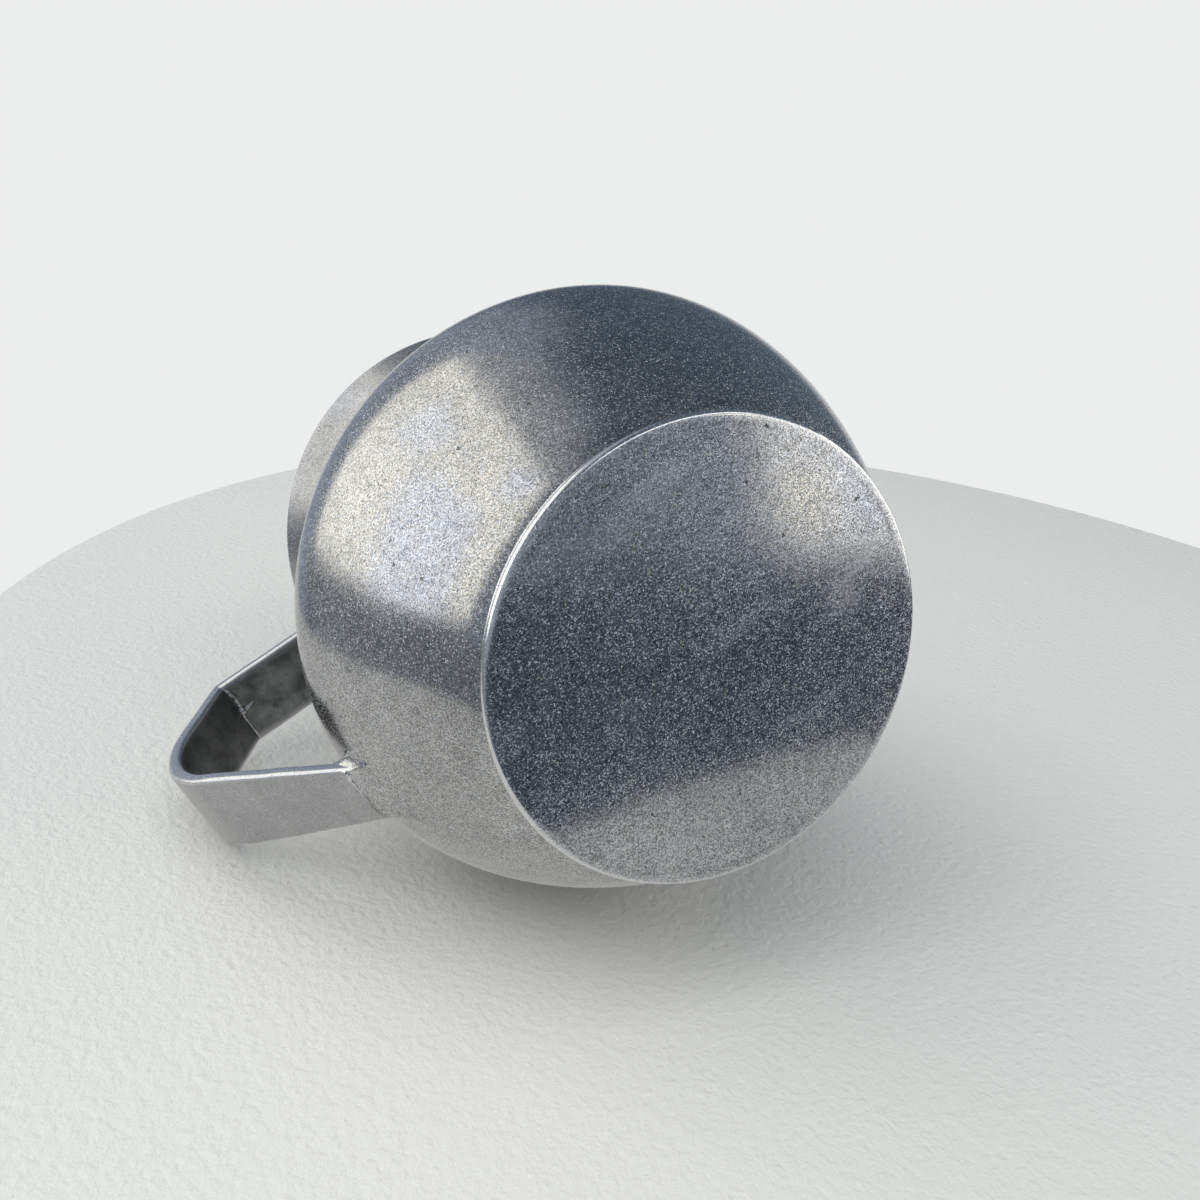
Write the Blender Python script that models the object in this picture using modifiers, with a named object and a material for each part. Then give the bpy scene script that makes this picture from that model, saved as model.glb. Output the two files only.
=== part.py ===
"""Pewter pitcher: a bulbous jug with a flat soldered base, a flared mouth and a strap handle.

Metres, +Z up. The origin is the middle of the flat base, on the surface that the pitcher stands on.
The pouring lip points to +X and the handle to -X.
"""
import math

import bmesh
import bpy
from mathutils import Vector

# Driving dimensions, in metres and degrees
GAP = 0.0003                    # clearance left between soldered pieces
WALL = 0.0025                   # wall of the bowls and the collar

BASE_RADIUS = 0.0520
BASE_THICKNESS = 0.0024
BASE_EDGE_ROUND = 0.0007
REGISTER_HEIGHT = 0.0010        # raised disc that centres the plate in the bowl
REGISTER_CLEARANCE = 0.0006
BASE_SOLDER_SETBACK = 0.0005    # the base fillet ends this far inside the plate's edge
BASE_SOLDER_HEIGHT = 0.0028
BASE_SOLDER_HOLLOW = 0.0010     # depth of the cove in that fillet

FOOT_SETBACK = 0.0055           # the bowl stands this far inside the plate's edge
FOOT_RADIUS = BASE_RADIUS - FOOT_SETBACK
FOOT_FLARE = 75.0               # wall's lean from upright at the foot
FOOT_PULL = 0.0090              # length of the curve's tangent there
BELLY_RADIUS = 0.0760
BELLY_HEIGHT = 0.0592
BELLY_PULL_DOWN = 0.0175
BELLY_PULL_UP = 0.0214
NECK_RADIUS = 0.0540
NECK_HEIGHT = 0.1150
NECK_PULL_DOWN = 0.0120
NECK_PULL_UP = 0.0120
RIM_RADIUS = 0.0619
RIM_FLARE = 27.0                # wall's lean from upright at the mouth
RIM_PULL = 0.0110
HEIGHT = 0.1467
LAP_HEIGHT = 0.0040             # spigot of each lapped joint
LAP_THICKNESS = 0.0011

SPOUT_REACH = 0.0110            # how far the lip is pulled out
SPOUT_LIFT = 0.0030
SPOUT_HALF_ANGLE = 36.0
SPOUT_DEPTH = 0.0240            # how far below the rim the pull begins

STRAP_WIDTH = 0.0210
STRAP_THICKNESS = 0.0033
STRAP_EDGE_ROUND = 0.0009
ROOT_WIDTH = 0.0153             # the lower limb narrows to this at the bowl
ROOT_HEIGHT = 0.0423            # where the lower limb meets the bowl
ARM_DROP = 0.0099               # middle of the top arm, below the rim
ARM_HEIGHT = HEIGHT - ARM_DROP
NOSE_DROP = 0.0348              # middle of the nose, below the arm
NOSE_HEIGHT = ARM_HEIGHT - NOSE_DROP
NOSE_STAND = 0.0380             # outside of the nose, beyond the belly
NOSE_REACH = BELLY_RADIUS + NOSE_STAND
BEND_RADIUS = 0.0328            # of the strap's middle at the nose
GRIP_ANGLE = 52.1               # grip, from level
SEAT_DEPTH = 0.0080             # strap ends are left this long before they are cut to the wall

ROOT_SOLDER_THICKNESS = 0.0015
ROOT_SOLDER_MARGIN = 0.0018     # solder beyond each edge of the strap
ROOT_SOLDER_RUN = 0.0070        # how far it runs up the bowl from the strap's inner face
ROOT_SOLDER_TUCK = 0.0010       # and where it stops above the outer face
ARM_SOLDER_SPREAD = 0.0017      # solder beyond the arm's faces and edges, at the wall
ARM_SOLDER_REACH = 0.0022       # how far it runs out along the arm
ARM_SOLDER_THIN = 0.0005        # what is left of it at its outer end
MITRE_SOLDER_RADIUS = 0.0014
MITRE_SOLDER_INSET = 0.0012     # bead ends short of the strap's edges

# Fineness of the curves
TURN_STEPS = 48
CURVE_POINTS = 11
FILLET_POINTS = 6
NOSE_STEPS = 10
PAD_STEPS = 8
EDGE_STEPS = 3
LIP_STEPS = 4
SHARP_ANGLE = 35.0              # edges that turn more than this stay crisp
HALVINGS = 40                   # steps of a search for a height
MERGE = 0.00001

# Colours and finish of the metal
PEWTER_COLOUR = (0.55, 0.56, 0.57)
PEWTER_ROUGHNESS = 0.42
SOLDER_COLOUR = (0.66, 0.67, 0.68)
SOLDER_ROUGHNESS = 0.30


def clear_scene():
    for item in list(bpy.data.objects):
        bpy.data.objects.remove(item, do_unlink=True)


def collection(name):
    group = bpy.data.collections.new(name)
    bpy.context.scene.collection.children.link(group)
    return group


def pewter(name, colour, roughness):
    """A satin metal of its own for one piece."""
    material = bpy.data.materials.new(name)
    material.use_nodes = True
    shader = material.node_tree.nodes["Principled BSDF"]
    shader.inputs["Base Color"].default_value = (*colour, 1.0)
    shader.inputs["Metallic"].default_value = 1.0
    shader.inputs["Roughness"].default_value = roughness
    return material


def mesh_object(name, mesh, group):
    item = bpy.data.objects.new(name, mesh)
    group.objects.link(item)
    return item


def as_cutter(item):
    item.hide_render = True
    item.display_type = "WIRE"
    return item


def cut(item, cutter):
    """Take the cutter's space out of a piece."""
    modifier = item.modifiers.new("cut_" + cutter.name, "BOOLEAN")
    modifier.operation = "DIFFERENCE"
    modifier.object = cutter


# Plane geometry: a point is (distance from the axis, height)
def bezier(start, start_pull, end_pull, end, count):
    points = []
    for index in range(count):
        t = index / (count - 1)
        u = 1 - t
        points.append(start * u ** 3 + start_pull * 3 * u * u * t + end_pull * 3 * u * t * t + end * t ** 3)
    return points


def shifted(points, distance):
    """The same line moved sideways: to its right hand side, seen along its direction."""
    moved = []
    for index, point in enumerate(points):
        before = points[max(index - 1, 0)]
        after = points[min(index + 1, len(points) - 1)]
        along = (after - before).normalized()
        moved.append(point + distance * Vector((along.y, -along.x)))
    return moved


def leaning(angle):
    """Unit direction that leans outwards from upright by an angle in degrees."""
    return Vector((math.sin(math.radians(angle)), math.cos(math.radians(angle))))


def lower_bowl_line():
    foot = Vector((FOOT_RADIUS, BASE_THICKNESS + GAP))
    belly = Vector((BELLY_RADIUS, BELLY_HEIGHT))
    foot_pull = foot + FOOT_PULL * leaning(FOOT_FLARE)
    return bezier(foot, foot_pull, belly - Vector((0, BELLY_PULL_DOWN)), belly, CURVE_POINTS)


def upper_bowl_line():
    belly = Vector((BELLY_RADIUS, BELLY_HEIGHT))
    neck = Vector((NECK_RADIUS, NECK_HEIGHT))
    belly_pull = belly + Vector((0, BELLY_PULL_UP))
    return bezier(belly, belly_pull, neck - Vector((0, NECK_PULL_DOWN)), neck, CURVE_POINTS)


def collar_line():
    neck = Vector((NECK_RADIUS, NECK_HEIGHT))
    rim = Vector((RIM_RADIUS, HEIGHT))
    return bezier(neck, neck + Vector((0, NECK_PULL_UP)), rim - RIM_PULL * leaning(RIM_FLARE), rim, CURVE_POINTS)


def outer_line():
    """The whole outside of the vessel, from the foot up to the rim."""
    return lower_bowl_line() + upper_bowl_line()[1:] + collar_line()[1:]


def radius_at(height):
    """Outside radius of the vessel at a height."""
    line = outer_line()
    for low, high in zip(line, line[1:]):
        if low.y <= height <= high.y:
            share = (height - low.y) / (high.y - low.y)
            return low.x + share * (high.x - low.x)
    return line[0].x if height < line[0].y else line[-1].x


def turned(name, section, group, closed=True):
    """A turned piece: the section runs down its outer side and is spun round the axis."""
    mesh = bpy.data.meshes.new(name)
    edges = [(index, index + 1) for index in range(len(section) - 1)]
    if closed:
        edges.append((len(section) - 1, 0))
    mesh.from_pydata([(point.x, 0, point.y) for point in section], edges, [])
    item = mesh_object(name, mesh, group)
    spin = item.modifiers.new("turn", "SCREW")
    spin.axis = "Z"
    spin.steps = TURN_STEPS
    spin.render_steps = TURN_STEPS
    spin.use_merge_vertices = True
    spin.merge_threshold = MERGE
    weld = item.modifiers.new("weld", "WELD")
    weld.merge_threshold = MERGE
    return item


def evaluated_mesh(item):
    """The finished mesh of an object in world space, with its loose caps welded."""
    mesh = bpy.data.meshes.new_from_object(item.evaluated_get(bpy.context.evaluated_depsgraph_get()))
    mesh.transform(item.matrix_world)
    welded = bmesh.new()
    welded.from_mesh(mesh)
    bmesh.ops.remove_doubles(welded, verts=welded.verts, dist=MERGE)
    bmesh.ops.recalc_face_normals(welded, faces=welded.faces)
    welded.to_mesh(mesh)
    welded.free()
    return mesh


def replaced_by_mesh(item, group):
    """Swap an object for the plain mesh that it evaluates to."""
    bpy.context.view_layer.update()
    name = item.name
    mesh = evaluated_mesh(item)
    bpy.data.objects.remove(item, do_unlink=True)
    mesh.name = name
    return mesh_object(name, mesh, group)


def poly_spline(curve, points, closed):
    spline = curve.splines.new("POLY")
    spline.points.add(len(points) - 1)
    for slot, point in zip(spline.points, points):
        slot.co = (*point, 1.0)
    spline.use_cyclic_u = closed


def extruded(name, outline, width, edge_round, group):
    """A flat outline in the handle's plane, given width across it and rounded long edges."""
    curve = bpy.data.curves.new(name, "CURVE")
    curve.dimensions = "2D"
    curve.fill_mode = "BOTH"
    curve.extrude = width / 2 - edge_round
    curve.bevel_depth = edge_round
    curve.bevel_resolution = 1
    curve.offset = -edge_round
    poly_spline(curve, [(-point.x, point.y, 0.0) for point in outline], closed=True)
    item = bpy.data.objects.new(name, curve)
    item.rotation_euler.x = math.radians(90)
    group.objects.link(item)
    return replaced_by_mesh(item, group)


def tube(name, points, radius, closed, group):
    """A round bead along a path."""
    curve = bpy.data.curves.new(name, "CURVE")
    curve.dimensions = "3D"
    curve.bevel_depth = radius
    curve.bevel_resolution = 2
    curve.use_fill_caps = not closed
    poly_spline(curve, points, closed)
    item = bpy.data.objects.new(name, curve)
    group.objects.link(item)
    return replaced_by_mesh(item, group)


# The vessel
def base_plate(group):
    edge = BASE_EDGE_ROUND
    register = shifted(lower_bowl_line(), -WALL)[0].x - REGISTER_CLEARANCE
    top = BASE_THICKNESS
    section = [
        Vector((0, top + REGISTER_HEIGHT)),
        Vector((register, top + REGISTER_HEIGHT)),
        Vector((register, top)),
    ]
    for centre_height, first, last in ((top - edge, 90, 0), (edge, 0, -90)):
        for step in range(EDGE_STEPS + 1):
            angle = math.radians(first + (last - first) * step / EDGE_STEPS)
            section.append(Vector((BASE_RADIUS - edge + edge * math.cos(angle),
                                   centre_height + edge * math.sin(angle))))
    section.append(Vector((0, 0)))
    return turned("base_plate", section, group, closed=False)


def base_solder(group):
    """Fillet between the plate and the bowl: a wedge with a hollow face."""
    low = BASE_THICKNESS + GAP
    wall = [point for point in shifted(lower_bowl_line(), GAP) if point.y < low + BASE_SOLDER_HEIGHT]
    foot = Vector((FOOT_RADIUS + GAP, low))
    tip = Vector((radius_at(low + BASE_SOLDER_HEIGHT) + 2 * GAP, low + BASE_SOLDER_HEIGHT))
    toe = Vector((BASE_RADIUS - BASE_SOLDER_SETBACK, low))
    middle = (tip + toe) / 2 - Vector((BASE_SOLDER_HOLLOW, 0))
    face = bezier(tip, middle, middle, toe, FILLET_POINTS)
    inner = [point for point in wall if point.y > low and point.x > foot.x]
    return turned("base_solder", face + [foot] + inner, group)


def lower_bowl(group):
    outside = lower_bowl_line()
    inside = shifted(outside, -WALL)
    belly = outside[-1]
    ledge = belly.x - LAP_THICKNESS
    spigot = [
        Vector((belly.x - WALL, belly.y + LAP_HEIGHT)),
        Vector((ledge, belly.y + LAP_HEIGHT)),
        Vector((ledge, belly.y)),
    ]
    return turned("lower_bowl", spigot + outside[::-1] + inside[:-1], group)


def lapped_shell(name, outside, group, crown):
    """A shell whose lower edge is rebated over the spigot of the piece below."""
    inside = shifted(outside, -WALL)
    low = outside[0] + Vector((0, GAP))
    socket = low.x - LAP_THICKNESS + GAP
    shoulder = low.y + LAP_HEIGHT
    wall_inside = [point for point in inside if point.y > shoulder + GAP]
    rebate = [low, Vector((socket, low.y)), Vector((socket, shoulder)), Vector((low.x - WALL, shoulder))]
    return turned(name, crown + outside[:0:-1] + rebate + wall_inside[:-1], group)


def upper_bowl(group):
    outside = upper_bowl_line()
    neck = outside[-1]
    ledge = neck.x - LAP_THICKNESS
    spigot = [
        Vector((neck.x - WALL, neck.y + LAP_HEIGHT)),
        Vector((ledge, neck.y + LAP_HEIGHT)),
        Vector((ledge, neck.y)),
    ]
    return lapped_shell("upper_bowl", outside, group, spigot)


def pull_spout(mesh):
    """Draw the lip outwards and up in front, fading down the collar and to both sides."""
    for vertex in mesh.vertices:
        place = vertex.co
        angle = math.degrees(math.atan2(place.y, place.x))
        depth = HEIGHT - place.z
        if abs(angle) >= SPOUT_HALF_ANGLE or depth >= SPOUT_DEPTH:
            continue
        across = math.cos(math.pi / 2 * angle / SPOUT_HALF_ANGLE) ** 2
        along = max(0.0, 1 - max(depth, 0) / SPOUT_DEPTH) ** 2
        outwards = Vector((place.x, place.y, 0)).normalized()
        vertex.co += across * along * (SPOUT_REACH * outwards + Vector((0, 0, SPOUT_LIFT)))


def neck_collar(group):
    outside = collar_line()
    inside = shifted(outside, -WALL)
    middle = (outside[-1] + inside[-1]) / 2
    half = (outside[-1] - inside[-1]) / 2
    up = leaning(RIM_FLARE) * WALL / 2
    lip = []
    for step in range(1, LIP_STEPS):
        angle = math.pi * step / LIP_STEPS
        lip.append(middle - half * math.cos(angle) + up * math.sin(angle))
    item = lapped_shell("neck_collar", outside, group, inside[-1:] + lip)
    item = replaced_by_mesh(item, group)
    pull_spout(item.data)
    return item


# The handle
def nose_centre():
    return Vector((NOSE_REACH - STRAP_THICKNESS / 2 - BEND_RADIUS, NOSE_HEIGHT))


def root_point():
    """Where the middle of the lower limb meets the outside of the bowl."""
    return Vector((radius_at(ROOT_HEIGHT), ROOT_HEIGHT))


def limb_angle():
    """Slope of the lower limb, which runs from the root straight into the bend."""
    to_centre = nose_centre() - root_point()
    slope = math.atan2(to_centre.y, to_centre.x) - math.asin(BEND_RADIUS / to_centre.length)
    return math.degrees(slope)


def limb_direction():
    """From the nose down towards the bowl."""
    return Vector((-math.cos(math.radians(limb_angle())), -math.sin(math.radians(limb_angle()))))


def grip_direction():
    """From the nose up towards the crease."""
    return Vector((-math.cos(math.radians(GRIP_ANGLE)), math.sin(math.radians(GRIP_ANGLE))))


def nose_arc(offset):
    """The bend, from the lower limb to the grip, moved outwards by an offset."""
    first = limb_angle() - 90
    last = 90 - GRIP_ANGLE
    points = []
    for step in range(NOSE_STEPS + 1):
        angle = math.radians(first + (last - first) * step / NOSE_STEPS)
        points.append(nose_centre() + (BEND_RADIUS + offset) * Vector((math.cos(angle), math.sin(angle))))
    return points


def crease(offset):
    """Corner between grip and arm, on the line that is moved outwards by an offset."""
    middle = nose_arc(0)[-1]
    middle += grip_direction() * (ARM_HEIGHT - middle.y) / grip_direction().y
    mitre = Vector((math.tan(math.radians(GRIP_ANGLE / 2)), 1))
    return middle + offset * mitre


def mitre_setback():
    return GAP / 2 / math.cos(math.radians(GRIP_ANGLE / 2))


def strap_mesh(name, grow, group):
    """Lower limb, nose and grip: the lower limb narrows towards the bowl."""
    half = STRAP_THICKNESS / 2 + grow
    root = root_point() + SEAT_DEPTH * limb_direction()
    across = Vector((-limb_direction().y, limb_direction().x))
    setback = grip_direction() * (mitre_setback() if grow == 0 else -grow)
    outline = [root + half * across] + nose_arc(half) + [crease(half) - setback]
    outline += [crease(-half) - setback] + nose_arc(-half)[::-1] + [root - half * across]
    item = extruded(name, outline, STRAP_WIDTH + 2 * grow, STRAP_EDGE_ROUND, group)
    limb_start = nose_arc(0)[0]
    length = (root - limb_start).length
    narrowing = (STRAP_WIDTH - ROOT_WIDTH) / STRAP_WIDTH
    for vertex in item.data.vertices:
        place = Vector((-vertex.co.x, vertex.co.z)) - limb_start
        share = min(max(place.dot(limb_direction()) / length, 0), 1)
        vertex.co.y *= 1 - narrowing * share
    return item


def arm_mesh(name, grow, group):
    """Straight top arm, from the mitre in to the neck."""
    half = STRAP_THICKNESS / 2 + grow
    inner_end = radius_at(ARM_HEIGHT) - SEAT_DEPTH
    setback = Vector((mitre_setback() if grow == 0 else -grow, 0))
    outline = [crease(half) - setback, Vector((inner_end, ARM_HEIGHT + half))]
    outline += [Vector((inner_end, ARM_HEIGHT - half)), crease(-half) - setback]
    return extruded(name, outline, STRAP_WIDTH + 2 * grow, STRAP_EDGE_ROUND, group)


def seat_height(far):
    """Height at which a face of the strap meets the bowl, between its middle and a far height."""
    across = Vector((-limb_direction().y, limb_direction().x))
    near = ROOT_HEIGHT
    for _ in range(HALVINGS):
        middle = (near + far) / 2
        offset = (Vector((radius_at(middle), middle)) - root_point()).dot(across)
        if abs(offset) < STRAP_THICKNESS / 2:
            near = middle
        else:
            far = middle
    return near


def root_solder_pad(group):
    """Solder that runs out over the bowl round the sides and inner face of the lower limb."""
    low = seat_height(BASE_THICKNESS) + ROOT_SOLDER_TUCK
    high = seat_height(BELLY_HEIGHT) + ROOT_SOLDER_RUN
    heights = [low + (high - low) * step / PAD_STEPS for step in range(PAD_STEPS + 1)]
    skin = [Vector((radius_at(height), height)) for height in heights]
    outside = shifted(skin, ROOT_SOLDER_THICKNESS)[1:-1]
    inside = shifted(skin, -ROOT_SOLDER_THICKNESS)
    width = ROOT_WIDTH + 2 * ROOT_SOLDER_MARGIN
    return extruded("handle_root_solder", inside + outside[::-1], width, ROOT_SOLDER_THICKNESS / 3, group)


def arm_solder_collar(group):
    """Solder round the top arm: thick where it lies on the neck, thin where it ends on the arm."""
    wall = radius_at(ARM_HEIGHT)
    thick = STRAP_THICKNESS / 2 + GAP + ARM_SOLDER_SPREAD
    thin = STRAP_THICKNESS / 2 + GAP + ARM_SOLDER_THIN
    upper = [(wall - SEAT_DEPTH, thick), (radius_at(ARM_HEIGHT + thick) + 2 * GAP, thick)]
    lower = [(radius_at(ARM_HEIGHT - thick) + 2 * GAP, -thick), (wall - SEAT_DEPTH, -thick)]
    outer = [(wall + ARM_SOLDER_REACH, thin), (wall + ARM_SOLDER_REACH, -thin)]
    outline = [Vector((reach, ARM_HEIGHT + height)) for reach, height in upper + outer + lower]
    width = STRAP_WIDTH + 2 * (GAP + ARM_SOLDER_SPREAD)
    item = extruded("handle_arm_solder", outline, width, ARM_SOLDER_THIN, group)
    narrowing = 2 * (ARM_SOLDER_SPREAD - ARM_SOLDER_THIN) / width
    for vertex in item.data.vertices:
        share = min(max((-vertex.co.x - wall) / ARM_SOLDER_REACH, 0), 1)
        vertex.co.y *= 1 - narrowing * share
    return item


def mitre_bead(group):
    corner = crease(-STRAP_THICKNESS / 2)
    end = STRAP_WIDTH / 2 - MITRE_SOLDER_INSET
    points = [(-corner.x, -end, corner.y), (-corner.x, end, corner.y)]
    return tube("mitre_solder", points, MITRE_SOLDER_RADIUS, False, group)


def build():
    clear_scene()
    parts = collection("pewter_pitcher")
    cutters = collection("cutters")

    envelope_line = shifted(outer_line(), GAP)
    axis_ends = [Vector((0, envelope_line[-1].y)), Vector((0, envelope_line[0].y))]
    envelope = turned("vessel_envelope", axis_ends[:1] + envelope_line[::-1] + axis_ends[1:], cutters, False)
    envelope = as_cutter(replaced_by_mesh(envelope, cutters))
    strap_room = as_cutter(strap_mesh("strap_room", GAP, cutters))
    arm_room = as_cutter(arm_mesh("arm_room", GAP, cutters))

    strap = strap_mesh("handle_strap", 0.0, parts)
    arm = arm_mesh("handle_arm", 0.0, parts)
    root_solder = root_solder_pad(parts)
    arm_solder = arm_solder_collar(parts)
    mitre_solder = mitre_bead(parts)
    for item in (strap, arm, root_solder, arm_solder):
        cut(item, envelope)
    cut(root_solder, strap_room)
    cut(arm_solder, arm_room)
    cut(mitre_solder, strap_room)
    cut(mitre_solder, arm_room)

    vessel = [base_plate(parts), base_solder(parts), lower_bowl(parts), upper_bowl(parts), neck_collar(parts)]
    handle = [strap, arm, root_solder, arm_solder, mitre_solder]

    for item in vessel + handle:
        if item.name.endswith("solder"):
            metal = pewter(item.name + "_metal", SOLDER_COLOUR, SOLDER_ROUGHNESS)
        else:
            metal = pewter(item.name + "_metal", PEWTER_COLOUR, PEWTER_ROUGHNESS)
        item.data.materials.clear()
        item.data.materials.append(metal)
        item.data.shade_smooth()
        item.data.set_sharp_from_angle(angle=math.radians(SHARP_ANGLE))

    frame = bpy.data.objects.new("pitcher_frame", None)
    parts.objects.link(frame)
    for item in vessel + handle:
        item.parent = frame


build()
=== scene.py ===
# %% [markdown]
# # A pewter pitcher, dressed for its picture
#
# The solids of the pitcher come from the CAD frame: ten soldered pieces with plain surfaces.
# This lesson replaces each one with a finer mesh of the same size in the same place, gives the
# metal its cast grain, and sets up a table, soft windows and a camera that looks at the base.

# %% Load the frame
import math

import bmesh
import bpy
import numpy as np
from mathutils import Matrix, Vector, noise


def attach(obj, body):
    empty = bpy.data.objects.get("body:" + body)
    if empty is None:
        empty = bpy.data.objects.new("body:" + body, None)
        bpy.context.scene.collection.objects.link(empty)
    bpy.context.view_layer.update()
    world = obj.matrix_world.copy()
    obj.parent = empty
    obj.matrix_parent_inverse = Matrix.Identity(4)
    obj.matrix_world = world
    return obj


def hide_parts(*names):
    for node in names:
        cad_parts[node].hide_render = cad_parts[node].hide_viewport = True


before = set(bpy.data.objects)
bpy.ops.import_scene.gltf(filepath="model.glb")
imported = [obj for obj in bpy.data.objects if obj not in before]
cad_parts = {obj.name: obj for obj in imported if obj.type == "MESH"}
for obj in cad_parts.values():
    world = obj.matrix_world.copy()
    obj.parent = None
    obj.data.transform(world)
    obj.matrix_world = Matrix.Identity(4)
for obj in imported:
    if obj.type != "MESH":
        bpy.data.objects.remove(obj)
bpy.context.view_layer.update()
print("nodes:", sorted(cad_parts))

# %% [markdown]
# ## Sizes
#
# A jug is turned round one axis, so a handful of radii and heights fix its outline. They are the
# driving sizes of the solids, in metres, repeated here because the looks have to sit on them.

# %% Sizes of the vessel and the handle
GAP = 0.0003
WALL = 0.0025
BASE_RADIUS, BASE_THICKNESS = 0.0520, 0.0024
REGISTER_HEIGHT, REGISTER_CLEARANCE = 0.0010, 0.0006
FOOT_RADIUS, FOOT_FLARE, FOOT_PULL = 0.0465, 75.0, 0.0090
BELLY_RADIUS, BELLY_HEIGHT = 0.0760, 0.0592
BELLY_PULL_DOWN, BELLY_PULL_UP = 0.0175, 0.0214
NECK_RADIUS, NECK_HEIGHT, NECK_PULL = 0.0540, 0.1150, 0.0120
RIM_RADIUS, RIM_FLARE, RIM_PULL, HEIGHT = 0.0619, 27.0, 0.0110, 0.1467
SPOUT_REACH, SPOUT_LIFT, SPOUT_HALF_ANGLE, SPOUT_DEPTH = 0.0110, 0.0030, 36.0, 0.0240
STRAP_WIDTH, STRAP_THICKNESS, ROOT_WIDTH = 0.0210, 0.0033, 0.0153
ROOT_HEIGHT, ARM_HEIGHT, NOSE_HEIGHT = 0.0423, 0.1368, 0.1020
NOSE_REACH, BEND_RADIUS, GRIP_ANGLE = 0.1140, 0.0328, 52.1
print("height", HEIGHT, "belly", 2 * BELLY_RADIUS, "handle reaches", NOSE_REACH)

# %% [markdown]
# ## The outline of the vessel
#
# Three smooth curves make the outside: foot to belly, belly to neck, neck to rim. A Bezier curve
# needs only its ends and two pulls, so the line stays easy to change. The inside is the same
# line, moved inwards by the wall.

# %% Outline curves
def bezier(start, start_pull, end_pull, end, count):
    points = []
    for index in range(count):
        t = index / (count - 1)
        u = 1 - t
        points.append(start * u**3 + start_pull * 3 * u * u * t + end_pull * 3 * u * t * t + end * t**3)
    return points


def leaning(angle):
    """Direction that leans outwards from upright by an angle in degrees."""
    return Vector((math.sin(math.radians(angle)), math.cos(math.radians(angle))))


def shifted(points, distance):
    """The same line, moved to its right hand side."""
    moved = []
    for index, point in enumerate(points):
        along = points[min(index + 1, len(points) - 1)] - points[max(index - 1, 0)]
        along.normalize()
        moved.append(point + distance * Vector((along.y, -along.x)))
    return moved


OUTLINE_POINTS = 72
foot = Vector((FOOT_RADIUS, BASE_THICKNESS + GAP))
belly = Vector((BELLY_RADIUS, BELLY_HEIGHT))
neck = Vector((NECK_RADIUS, NECK_HEIGHT))
rim = Vector((RIM_RADIUS, HEIGHT))
lower_line = bezier(foot, foot + FOOT_PULL * leaning(FOOT_FLARE),
                    belly - Vector((0, BELLY_PULL_DOWN)), belly, OUTLINE_POINTS)
upper_line = bezier(belly, belly + Vector((0, BELLY_PULL_UP)),
                    neck - Vector((0, NECK_PULL)), neck, OUTLINE_POINTS)
collar_line = bezier(neck, neck + Vector((0, NECK_PULL)),
                     rim - RIM_PULL * leaning(RIM_FLARE), rim, OUTLINE_POINTS)
outside_line = lower_line + upper_line[1:] + collar_line[1:]
outline_heights = np.array([point.y for point in outside_line])
outline_radii = np.array([point.x for point in outside_line])


def radius_at(height):
    return float(np.interp(height, outline_heights, outline_radii))


print("outline points:", len(outside_line), "radius at the root:", round(radius_at(ROOT_HEIGHT), 4))

# %% [markdown]
# ## Pewter
#
# Pewter is a soft grey alloy of tin. Cast in a sand or stone mould it keeps a fine grain, small
# pits and cloudy patches of tarnish, and it shines where hands and tools rub it. All of that is
# procedural here: noise for the clouds and the grain, cells for the crystals and the pits, and
# three attributes of the mesh that say where it is burnished, where grime and painted shade lie
# and what is inside.

# %% Small helpers for node trees
def node(tree, kind, inputs=None, **settings):
    made = tree.nodes.new(kind)
    for name, value in settings.items():
        setattr(made, name, value)
    for name, value in (inputs or {}).items():
        if isinstance(value, bpy.types.NodeSocket):
            tree.links.new(value, made.inputs[name])
        else:
            made.inputs[name].default_value = value
    return made


def maths(tree, operation, first, second=0.0, clamp=False):
    made = node(tree, "ShaderNodeMath", {0: first, 1: second}, operation=operation, use_clamp=clamp)
    return made.outputs[0]


def added(tree, first, second):
    return maths(tree, "ADD", first, second)


def scaled(tree, value, factor):
    return maths(tree, "MULTIPLY", value, factor)


def ranged(tree, value, low, high, to_low=0.0, to_high=1.0, smooth=False):
    made = node(tree, "ShaderNodeMapRange", {"Value": value, "From Min": low, "From Max": high,
                                             "To Min": to_low, "To Max": to_high})
    made.interpolation_type = "SMOOTHSTEP" if smooth else "LINEAR"
    return made.outputs["Result"]


def mixed(tree, share, first, second, blend="MIX"):
    made = node(tree, "ShaderNodeMix", data_type="RGBA", blend_type=blend)
    for name, value in (("Factor_Float", share), ("A_Color", first), ("B_Color", second)):
        socket = next(s for s in made.inputs if s.identifier == name)
        if isinstance(value, bpy.types.NodeSocket):
            tree.links.new(value, socket)
        else:
            socket.default_value = value
    return next(s for s in made.outputs if s.identifier == "Result_Color")


print("helpers: node, maths, added, scaled, ranged, mixed")


# %% Patterns in the metal
def noise_at(tree, place, scale, detail=3.0, roughness=0.55):
    return node(tree, "ShaderNodeTexNoise", {"Vector": place, "Scale": scale, "Detail": detail,
                                             "Roughness": roughness}).outputs["Fac"]


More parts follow.
